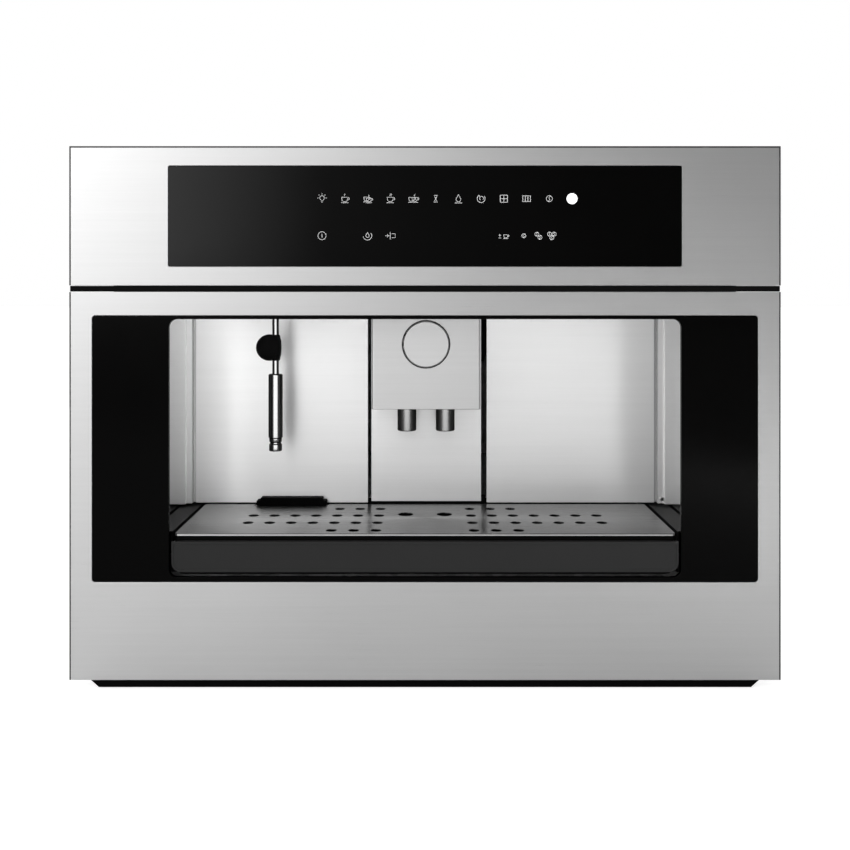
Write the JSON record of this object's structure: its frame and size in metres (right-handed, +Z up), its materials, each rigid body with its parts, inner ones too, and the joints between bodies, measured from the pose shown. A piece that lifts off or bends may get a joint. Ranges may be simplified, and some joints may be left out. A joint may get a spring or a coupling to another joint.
{
  "type": "built in coffee machine",
  "caption": "Built-in coffee machine: steel front, glass touch panel, open niche with spouts, steam wand and drip tray, on pull-out runners.",
  "frame": {"origin": "middle of the machine's footprint, on the floor of the cabinet that it stands in", "axes": "+X to the right seen from the front, +Y from the steel front to the rear cover, +Z up"},
  "size_m": [0.597, 0.398, 0.455],
  "materials": {
    "brushed_front": "horizontal brush",
    "niche_steel": "fine vertical brush",
    "galvanised": "dull zinc coat",
    "deck_grey": "satin dark grey",
    "chrome": "polished",
    "black_glass": "gloss, black behind",
    "black_plastic": "fine grain",
    "tray_grey": "satin",
    "clear_plastic": "smoked, see-through",
    "rubber": "matt",
    "cast_aluminium": "as cast",
    "board": "solder mask",
    "silicone": "milky",
    "brass": "turned"
  },
  "bodies": {
    "cabinet_rails": {"base_plate": "galvanised", "runner_outer_left": "galvanised", "runner_outer_right": "galvanised"},
    "runner_members": {"runner_middle_left": "galvanised", "runner_middle_right": "galvanised"},
    "machine": {"runner_inner_left": "galvanised", "runner_inner_right": "galvanised", "chassis_pan": "galvanised", "tray_deck": "deck_grey", "mezzanine_plate": "galvanised", "side_cover_left": "galvanised", "side_cover_right": "galvanised", "rear_cover": "galvanised", "top_cover": "galvanised", "front_frame": "galvanised", "control_panel": "brushed_front", "lower_panel": "brushed_front", "control_glass": "black_glass", "window_glass": "black_glass", "touch_board": "board", "toe_strip": "black_plastic", "panel_seal": "rubber", "niche_liner": "niche_steel", "service_frame": "black_plastic", "rinse_gutter": "black_plastic", "niche_lamp": "clear_plastic", "wand_socket": "chrome", "bean_hopper": "clear_plastic", "grinder_housing": "black_plastic", "ground_chute": "black_plastic", "brew_frame": "black_plastic", "coffee_boiler": "cast_aluminium", "steam_boiler": "cast_aluminium", "water_pump": "black_plastic", "power_board": "board", "mains_inlet": "black_plastic", "tank_cradle": "tray_grey", "suction_hose": "silicone", "steam_pipe": "silicone"},
    "service_door": {"service_door": "niche_steel"},
    "dispenser": {"dispenser_body": "brushed_front", "dispenser_carrier": "black_plastic", "dispenser_disc": "brushed_front", "spout_left": "chrome", "spout_right": "chrome"},
    "wand_collar": {"wand_collar": "black_plastic"},
    "wand": {"wand_tube": "chrome", "wand_grip": "rubber", "wand_sleeve": "chrome", "wand_nozzle": "chrome"},
    "drip_tray": {"tray_basin": "black_plastic", "tray_front": "tray_grey", "grounds_bin": "black_plastic"},
    "grille": {"drip_grille": "niche_steel"},
    "water_tank": {"water_tank": "clear_plastic"},
    "tank_lid": {"tank_lid": "black_plastic"},
    "bean_lid": {"bean_lid": "clear_plastic"},
    "funnel_flap": {"funnel_flap": "black_plastic"},
    "burr": {"grinder_burr": "cast_aluminium"},
    "piston": {"brew_piston": "brass"}
  },
  "joints": [
    {"name": "pull_out", "type": "slide", "parent": "cabinet_rails", "child": "machine", "axis": [0, -1, 0], "range_m": [0, 0.3]},
    {"name": "runner_follow", "type": "slide", "parent": "cabinet_rails", "child": "runner_members", "axis": [0, -1, 0], "range_m": [0, 0.15]},
    {"name": "door_hinge", "type": "hinge", "parent": "machine", "child": "service_door", "pos_m": [0.056, -0.0752, 0.226], "axis": [0, 0, 1], "range_deg": [0, 90]},
    {"name": "dispenser_height", "type": "slide", "parent": "service_door", "child": "dispenser", "axis": [0, 0, 1], "range_m": [0, 0.035]},
    {"name": "wand_turn", "type": "hinge", "parent": "machine", "child": "wand_collar", "pos_m": [-0.1373, -0.124, 0.34], "axis": [0, 0, 1], "range_deg": [-30, 30]},
    {"name": "wand_tilt", "type": "hinge", "parent": "wand_collar", "child": "wand", "pos_m": [-0.1373, -0.124, 0.34], "axis": [-1, 0, 0], "range_deg": [0, 40]},
    {"name": "tray_slide", "type": "slide", "parent": "machine", "child": "drip_tray", "axis": [0, -1, 0], "range_m": [0, 0.24]},
    {"name": "grille_lift", "type": "slide", "parent": "drip_tray", "child": "grille", "axis": [0, 0, 1], "range_m": [0, 0.05]},
    {"name": "tank_slide", "type": "slide", "parent": "machine", "child": "water_tank", "axis": [1, 0, 0], "range_m": [0, 0.13]},
    {"name": "tank_lid_hinge", "type": "hinge", "parent": "water_tank", "child": "tank_lid", "pos_m": [0.208, 0.096, 0.3002], "axis": [-1, 0, 0], "range_deg": [0, 80]},
    {"name": "bean_lid_hinge", "type": "hinge", "parent": "machine", "child": "bean_lid", "pos_m": [-0.02, 0.108, 0.4484], "axis": [-1, 0, 0], "range_deg": [0, 85]},
    {"name": "funnel_flap_hinge", "type": "hinge", "parent": "machine", "child": "funnel_flap", "pos_m": [0.105, 0.065, 0.4484], "axis": [-1, 0, 0], "range_deg": [0, 85]},
    {"name": "burr_spin", "type": "hinge", "parent": "machine", "child": "burr", "pos_m": [-0.02, 0.04, 0.35], "axis": [0, 0, 1], "continuous": true},
    {"name": "piston_lift", "type": "slide", "parent": "machine", "child": "piston", "axis": [0, 0, 1], "range_m": [0, 0.03]}
  ],
  "couplings": [
    {"joint": "runner_follow", "follows": "pull_out", "ratio": 0.5}
  ]
}
